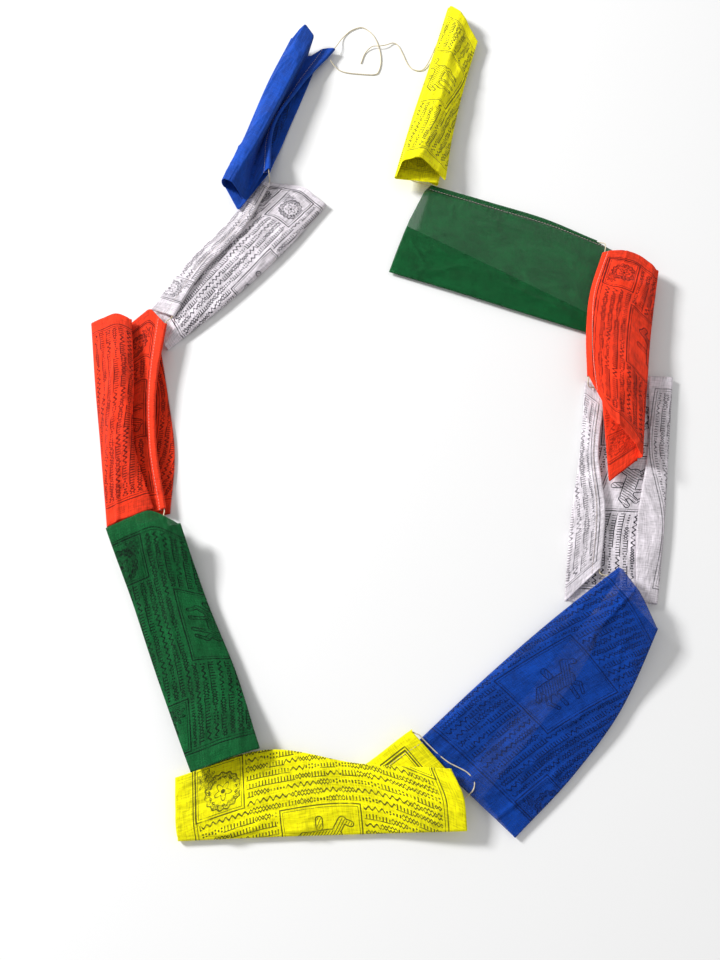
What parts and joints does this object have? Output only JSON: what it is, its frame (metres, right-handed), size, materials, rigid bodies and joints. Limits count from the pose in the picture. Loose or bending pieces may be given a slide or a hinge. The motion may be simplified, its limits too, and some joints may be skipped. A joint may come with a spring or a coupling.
{
  "type": "prayer flag string",
  "caption": "Square printed cloth flags in repeating colours on one thin string, each folded lengthwise and laid end to end in a closed oval.",
  "frame": {"origin": "on the surface the flags lie on, under the middle of the oval's bounding box", "axes": "+Z up from the surface; +Y along the oval, from the long yellow flag at the foot towards the loose string ends; +X to the right seen from above with +Y up"},
  "size_m": [0.5902, 0.9049, 0.0342],
  "materials": {
    "cloth_blue": "matte thin cotton, deep blue with dark print",
    "cloth_white": "matte thin cotton, white with dark print",
    "cloth_red": "matte thin cotton, orange-red with dark print",
    "cloth_green": "matte thin cotton, dark green with dark print",
    "cloth_yellow": "matte thin cotton, bright yellow with dark print",
    "string": "thin undyed twisted twine"
  },
  "bodies": {
    "root": {"flag_blue_1": "cloth_blue", "flag_white_1": "cloth_white", "flag_red_1": "cloth_red", "flag_green_1": "cloth_green", "flag_yellow_1": "cloth_yellow", "flag_blue_2": "cloth_blue", "flag_white_2": "cloth_white", "flag_red_2": "cloth_red", "flag_green_2": "cloth_green", "flag_yellow_2": "cloth_yellow", "string_run": "string", "string_loop": "string", "string_tail": "string"}
  },
  "joints": []
}
